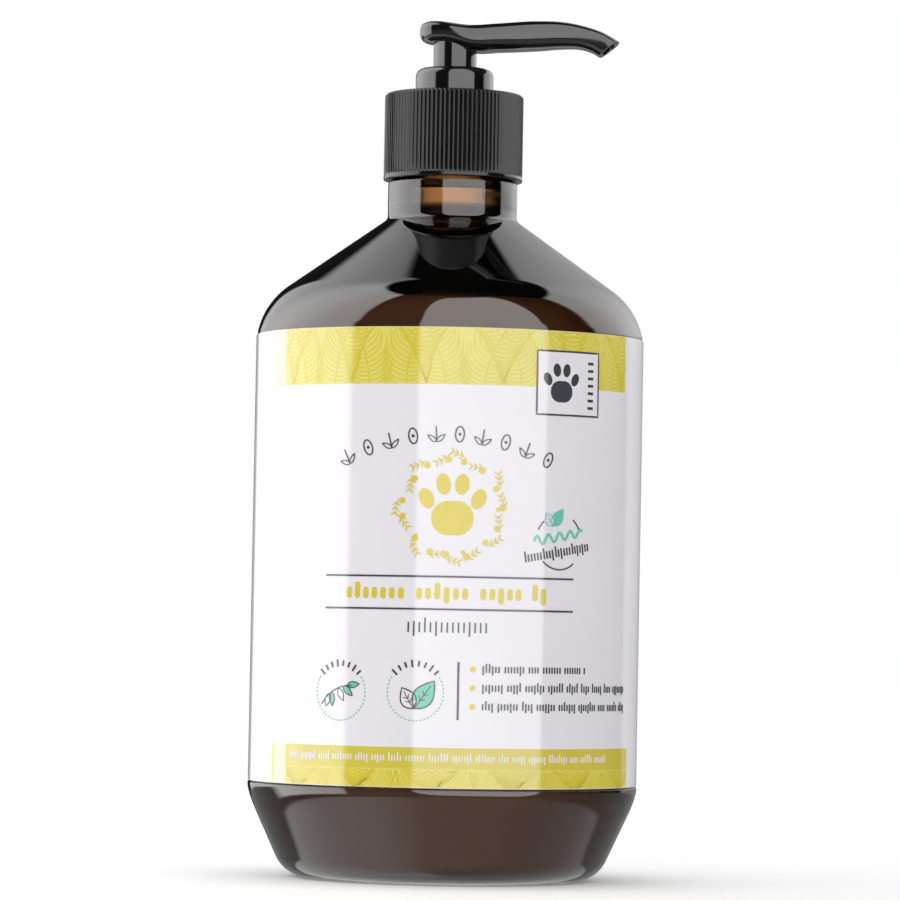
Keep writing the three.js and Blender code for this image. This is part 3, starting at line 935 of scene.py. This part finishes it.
# Top point, bottom point and half width of the spout's sections, from the back of the bulb to the tip.
SPOUT = [
    ((-7, 171), (-7, 169.2), 1.4),
    ((-6.6, 171.7), (-6.6, 168.5), 2.9),
    ((-5.4, 172.2), (-5.4, 168), 4.4),
    ((-3, 172.3), (-3, 167.9), 5.5),
    ((-0.8, 172.05), (-0.8, 167.7), 5.9),
    ((1.2, 171.75), (1.2, 167.1), 5.9),
    ((3.4, 171.55), (3.4, 166.35), 5.7),
    ((9, 171.85), (9, 166.35), 5.1),
    ((17, 172.35), (17, 166.6), 4.2),
    ((22, 172.2), (21.5, 166.9), 3.7),
    ((27, 171.2), (25.5, 166.8), 3.35),
    ((30.3, 170.05), (27.8, 166.1), 3.15),
    ((33.2, 168.4), (29.3, 165.2), 3),
]


def smooth_sections(steps):
    """The spout's sections at even steps along a smooth curve through the list."""
    rows = np.array([[*top, *bottom, half] for top, bottom, half in SPOUT])
    knots = np.r_[0, np.cumsum(np.linalg.norm(np.diff(rows[:, :4], axis=0), axis=1))]
    at = np.linspace(0, knots[-1], steps)
    slopes = np.gradient(rows, knots, axis=0)
    result = np.empty((steps, rows.shape[1]))
    for k, s in enumerate(at):
        i = min(np.searchsorted(knots, s, side="right") - 1, len(knots) - 2)
        width = knots[i + 1] - knots[i]
        t = (s - knots[i]) / width
        h = np.array([2 * t**3 - 3 * t**2 + 1, t**3 - 2 * t**2 + t, -2 * t**3 + 3 * t**2, t**3 - t**2])
        result[k] = h[0] * rows[i] + h[2] * rows[i + 1] + width * (h[1] * slopes[i] + h[3] * slopes[i + 1])
    return result


DRAFT = math.tan(math.radians(8))  # the spout's sides lean out towards its top


def section_ring(row, sides, squareness, shrink=0.0):
    """Points of one section as a superellipse, set in by shrink."""
    top, bottom, half = row[:2], row[2:4], row[4]
    height = np.linalg.norm(top - bottom)
    up = (top - bottom) / height
    middle = (top + bottom) / 2
    ring = []
    for k in range(sides):
        c, s = math.cos(TURN * k / sides), math.sin(TURN * k / sides)
        across = math.copysign(abs(c) ** (2 / squareness), c) * (half - shrink)
        rise = math.copysign(abs(s) ** (2 / squareness), s) * (height / 2 - shrink)
        x, z = middle + up * rise
        ring.append((x, -across * (1 + DRAFT * rise / half), z))
    return ring


def spout():
    """Bulb and spout as one skin that turns in at the outlet and runs back up the channel."""
    sides = 64
    sections = smooth_sections(90)
    rings = [section_ring(row, sides, 3.4) for row in sections]
    first = np.array(rings[0]).mean(0)
    rings.insert(0, [tuple(first + (np.array(p) - first) * 0.45 - (0.12, 0, 0)) for p in rings[0]])
    last = sections[-1]
    rings[-1] = section_ring(last, sides, 3.4, 0.05)
    rings.append(section_ring(last, sides, 3.2, 0.3))
    rings.append(section_ring(last, sides, 3, 0.7))
    rings.append(section_ring(last, sides, 2.6, 0.9))
    for k in range(2, 22, 2):
        rings.append(section_ring(sections[-k], sides, 2.4, 1.0))
    points = [p for ring in rings for p in ring]
    faces = grid_faces(len(rings), sides)
    faces.append(tuple(reversed(range(sides))))
    faces.append(tuple(range(len(points) - sides, len(points))))
    piece = add_mesh("pump_head", points, faces, BLACK, 50)
    piece.data.transform(Matrix.Rotation(SPOUT_TURN, 4, "Z"))
    return piece


def sleeve():
    """The post under the bulb: a short cone, the skirt and the sleeve that runs in the chaplet."""
    outline = [
        (2.66, head_low[2]),
        (4, head_low[2]),
        (4, 162.3),
        (4.35, 162.6),
        (4.35, 168.2),
        (5.2, 168.8),
        (5.2, 170),
        (2.66, 170),
    ]
    radii = [0.1, 0.2, 0.1, 0.1, 0.3, 0.3, 0.1, 0.1]
    return turned("head_sleeve", subdivided(rounded(outline, radii, 4), 2), 96, BLACK)


placed(spout(), "head", "black_plastic", "actuator")
placed(sleeve(), "head", "black_plastic")


# ---- the pump inside ----


def round_piece(name, outline, material, sides=96, longest=2.5):
    return turned(name, subdivided(outline, longest), sides, material)


def pump_housing():
    outer, bore = HOUSING_R, 5.0
    collar, flange = 7.0, housing_high[0]
    flange_low, flange_top = 154.7, 155.7
    shelf, socket_low, socket_top = 112.2, housing_low[2], 110.4
    mouth = tube_high[0] + 0.08
    outline = [
        (mouth, socket_low),
        (3.5, socket_low),
        (3.7, socket_top - 1),
        (outer, socket_top + 0.8),
        *[(outer, z) for z in np.linspace(socket_top + 2, 146, 30)],
        (outer, 147.6),
        (collar, 148.8),
        (collar, flange_low),
        (flange, flange_low),
        (flange, flange_top),
        (collar, flange_top),
        (collar, housing_high[2]),
        (6, housing_high[2]),
        (6, 149.2),
        (bore, 148.4),
        (bore, shelf),
        (2.6, shelf),
        (1.2, shelf - 1.3),
        (1.2, socket_top),
        (mouth, socket_top),
    ]
    return round_piece("pump_barrel", outline, NATURAL)


def dip_tube():
    """The tube's lower end is cut at a slant."""
    outer, bore, sides = tube_high[0], 1.9, 48
    slant = math.tan(math.radians(35))
    heights = np.r_[0, np.linspace(0.05, 1, 40)]
    points = []
    for radius, levels in ((outer, heights), (bore, heights[::-1])):
        for t in levels:
            for k in range(sides):
                x, y = radius * unit(TURN * k / sides)
                foot = tube_low[2] + (x + outer) * slant
                points.append((x, y, foot + (tube_high[2] - foot) * t))
    faces = grid_faces(2 * len(heights), sides, wrap_rows=True)
    return add_mesh("suction_tube", points, faces, NATURAL)


def check_ball():
    middle = (ball_low[2] + ball_high[2]) / 2
    radius = (ball_high[2] - ball_low[2]) / 2
    outline = [(r, z + middle) for r, z in arc((0, 0), radius, -math.pi / 2, math.pi / 2, 24)]
    outline[0] = (0, outline[0][1])
    outline[-1] = (0, outline[-1][1])
    return turned("check_ball", outline, 40, GLASS)


def coil_spring():
    """Round wire wound with its end turns closed up and flat."""
    wire, radius, turns, around, per_turn = 0.42, 3.86, 7, 14, 40
    low, high = spring_low[2] + wire, spring_high[2] - wire
    steps = turns * per_turn
    points = []
    for i in range(steps + 1):
        t = i / steps
        angle = TURN * turns * t
        closed = 0.9 * wire / (high - low) * turns
        level = np.interp(t * turns, [0, 1, turns - 1, turns], [0, closed / turns, 1 - closed / turns, 1])
        z = low + (high - low) * level
        for k in range(around):
            a = TURN * k / around
            r = radius + wire * math.cos(a)
            points.append((r * math.cos(angle), r * math.sin(angle), z + wire * math.sin(a)))
    faces = grid_faces(steps + 1, around)
    faces.append(tuple(reversed(range(around))))
    faces.append(tuple(range(len(points) - around, len(points))))
    return add_mesh("coil_spring", points, faces, STEEL)


def soft_piston():
    low, bore, lip = piston_low[2] + 0.1, 2.72, 4.93
    outline = [
        (bore, low),
        (3.3, low),
        (3.5, low + 1.3),
        (lip - 0.4, low - 0.1),
        (lip, low + 0.1),
        (4.3, low + 1.9),
        (4.3, low + 3.7),
        (lip, low + 5.5),
        (lip - 0.4, low + 5.6),
        (3.5, low + 4.3),
        (3.2, low + 5.7),
        (bore, low + 5.7),
    ]
    return round_piece("double_lip_piston", outline, SOFT, longest=0.8)


def washer():
    low, high = gasket_low[2], gasket_high[2]
    outline = rounded([(7.3, low), (gasket_high[0], low), (gasket_high[0], high), (7.3, high)], 0.12, 3)
    return round_piece("rim_washer", outline, FOAM, 120, 1)


placed(pump_housing(), "pump_engine", "natural_plastic", "pump_housing")
placed(dip_tube(), "pump_engine", "natural_plastic", "dip_tube")
placed(check_ball(), "inlet_ball", "ball_glass", "inlet_ball")
placed(soft_piston(), "piston", "soft_plastic", "piston")
placed(washer(), "gasket", "gasket_foam", "neck_gasket")
spring = coil_spring()
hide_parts("return_spring")
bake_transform(spring)
for node in ("ball_cage", "piston_seat", "stem"):
    for material_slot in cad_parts[node].material_slots:
        material_slot.material = NATURAL


# ---- stage and light ----


def floor():
    look = Look("floor")
    look.drift(((0.93, 0.93, 0.93), (0.95, 0.95, 0.95)), 3, 2)
    look.inputs["Roughness"].default_value = 1
    look.inputs["Specular IOR Level"].default_value = 0
    look.inputs["Emission Color"].default_value = (1, 1, 1, 1)
    look.inputs["Emission Strength"].default_value = 0.16
    clear = look.nodes.new("ShaderNodeBsdfTransparent")
    mix = look.nodes.new("ShaderNodeMixShader")
    path = look.nodes.new("ShaderNodeLightPath")
    look.links.new(path.outputs["Is Glossy Ray"], mix.inputs["Fac"])
    look.links.new(look.shader.outputs["BSDF"], mix.inputs[1])
    look.links.new(clear.outputs["BSDF"], mix.inputs[2])
    look.links.new(mix.outputs["Shader"], look.nodes["Material Output"].inputs["Surface"])
    reach = 20000
    corners = [(-reach, -reach, 0), (reach, -reach, 0), (reach, reach, 0), (-reach, reach, 0)]
    add_mesh("floor", corners, [(0, 1, 2, 3)], look.material)


class Sky:
    """The studio, as a world shader. Azimuths are in degrees from the front, to the right positive."""

    def __init__(self):
        world = bpy.data.worlds.new("studio")
        bpy.context.scene.world = world
        world.use_nodes = True
        self.nodes, self.links = world.node_tree.nodes, world.node_tree.links
        self.nodes.clear()
        split = self.nodes.new("ShaderNodeSeparateXYZ")
        self.links.new(self.nodes.new("ShaderNodeTexCoord").outputs["Generated"], split.inputs["Vector"])
        self.x, y, z = split.outputs
        self.front = self.math("MULTIPLY", y, -1)
        self.azimuth = self.math("DEGREES", self.math("ARCTAN2", self.x, self.front))
        self.elevation = self.math("DEGREES", self.math("ARCSINE", z))

    def math(self, operation, *values):
        node = self.nodes.new("ShaderNodeMath")
        node.operation = operation
        for socket, value in zip(node.inputs, values):
            if isinstance(value, (int, float)):
                socket.default_value = value
            else:
                self.links.new(value, socket)
        return node.outputs[0]

    def step(self, value, start, end):
        """0 before start, 1 after end, smooth between them."""
        node = self.nodes.new("ShaderNodeMapRange")
        node.interpolation_type = "SMOOTHSTEP"
        self.links.new(value, node.inputs["Value"])
        node.inputs["From Min"].default_value = start
        node.inputs["From Max"].default_value = end
        return node.outputs["Result"]

    def window(self, low, high, soft=1.5):
        """1 between two elevations."""
        return self.math(
            "MULTIPLY",
            self.step(self.elevation, low - soft, low + soft),
            self.math("SUBTRACT", 1, self.step(self.math("SUBTRACT", self.elevation, high), -soft, soft)),
        )

    def lit(self, card, low, high):
        """A card's brightness, between two elevations only."""
        return self.math("MULTIPLY", card, self.window(low, high))

    def around(self, stops):
        """Brightness by azimuth, from (azimuth, brightness) stops."""
        peak = max(value for _, value in stops)
        node = self.nodes.new("ShaderNodeValToRGB")
        fill_ramp(node.color_ramp, [((azimuth + 180) / 360, (value / peak,) * 3) for azimuth, value in stops])
        scaled = self.math("DIVIDE", self.math("ADD", self.azimuth, 180), 360)
        self.links.new(scaled, node.inputs["Fac"])
        return self.math("MULTIPLY", node.outputs["Color"], peak)

    def rounded_card(self, azimuth, half_width, elevation, half_height, brightness):
        """A soft-edged card with rounded corners."""
        across = self.math("DIVIDE", self.math("SUBTRACT", self.azimuth, azimuth), half_width)
        up = self.math("DIVIDE", self.math("SUBTRACT", self.elevation, elevation), half_height)
        powers = [self.math("POWER", self.math("ABSOLUTE", v), 5) for v in (across, up)]
        far = self.math("ADD", *powers)
        return self.math("MULTIPLY", self.math("SUBTRACT", 1, self.step(far, 0.85, 1.15)), brightness)

    def total(self, *parts):
        result = parts[0]
        for part in parts[1:]:
            result = self.math("ADD", result, part)
        return result

    def background(self, strength):
        node = self.nodes.new("ShaderNodeBackground")
        node.inputs["Color"].default_value = (1, 1, 1, 1)
        if isinstance(strength, (int, float)):
            node.inputs["Strength"].default_value = strength
        else:
            self.links.new(strength, node.inputs["Strength"])
        return node.outputs[0]

    def choose(self, test, if_true, if_false):
        node = self.nodes.new("ShaderNodeMixShader")
        self.links.new(test, node.inputs["Fac"])
        self.links.new(if_false, node.inputs[1])
        self.links.new(if_true, node.inputs[2])
        return node.outputs[0]


def studio():
    """White to the camera. Reflections see soft cards on black, weaker towards the back, where plastic
    mirrors most. What shines through the bottle comes from the front only, and the soft light is
    stronger on the left."""
    sky = Sky()
    left = sky.around([(-161, 0), (-158.5, 1.3), (-141, 2), (-120, 4), (-100, 4.8), (-61, 4.4), (-58, 0)])
    left_low = sky.around([(-160, 0), (-157, 1.3), (-141, 2), (-120, 4), (-100, 4.8), (-61, 4.8), (-58, 0)])
    left_foot = sky.around([(-122, 0), (-112, 4), (-100, 4.8), (-61, 4.4), (-58, 0)])
    right = sky.around([(95, 0), (99, 3.2), (131, 2.8), (155, 1.5), (166, 0.8), (175, 0.5), (180, 0.3)])
    right_low = sky.around([(130, 0), (134, 0.8), (150, 0.5), (180, 0.15)])
    below = sky.around([(-180, 1.2), (-110, 1.8), (-50, 1.5), (-10, 0.7), (60, 0.6), (100, 0.8), (180, 1.2)])
    mirrored = sky.total(
        sky.lit(left, 16, 68),
        sky.lit(left_low, -6, 16),
        sky.lit(left_foot, -20, -6),
        sky.lit(right, 4.5, 56),
        sky.lit(right_low, -6, 4.5),
        sky.rounded_card(21, 39, 24.5, 44.5, 4.1),
        sky.lit(below, -95, -26),
        sky.math("MULTIPLY", sky.window(-26, -6), 0.3),
        0.02,
    )
    through = sky.math("MULTIPLY", sky.step(sky.front, -0.1, 0.6), 2.2)
    soft = sky.math("MULTIPLY", sky.math("SUBTRACT", 1, sky.math("MULTIPLY", sky.x, 0.435)), 0.92)
    path = sky.nodes.new("ShaderNodeLightPath")
    result = sky.choose(path.outputs["Is Glossy Ray"], sky.background(mirrored), sky.background(soft))
    result = sky.choose(path.outputs["Is Transmission Ray"], sky.background(through), result)
    result = sky.choose(path.outputs["Is Camera Ray"], sky.background(1.0), result)
    sky.links.new(result, sky.nodes.new("ShaderNodeOutputWorld").inputs["Surface"])


studio()
floor()
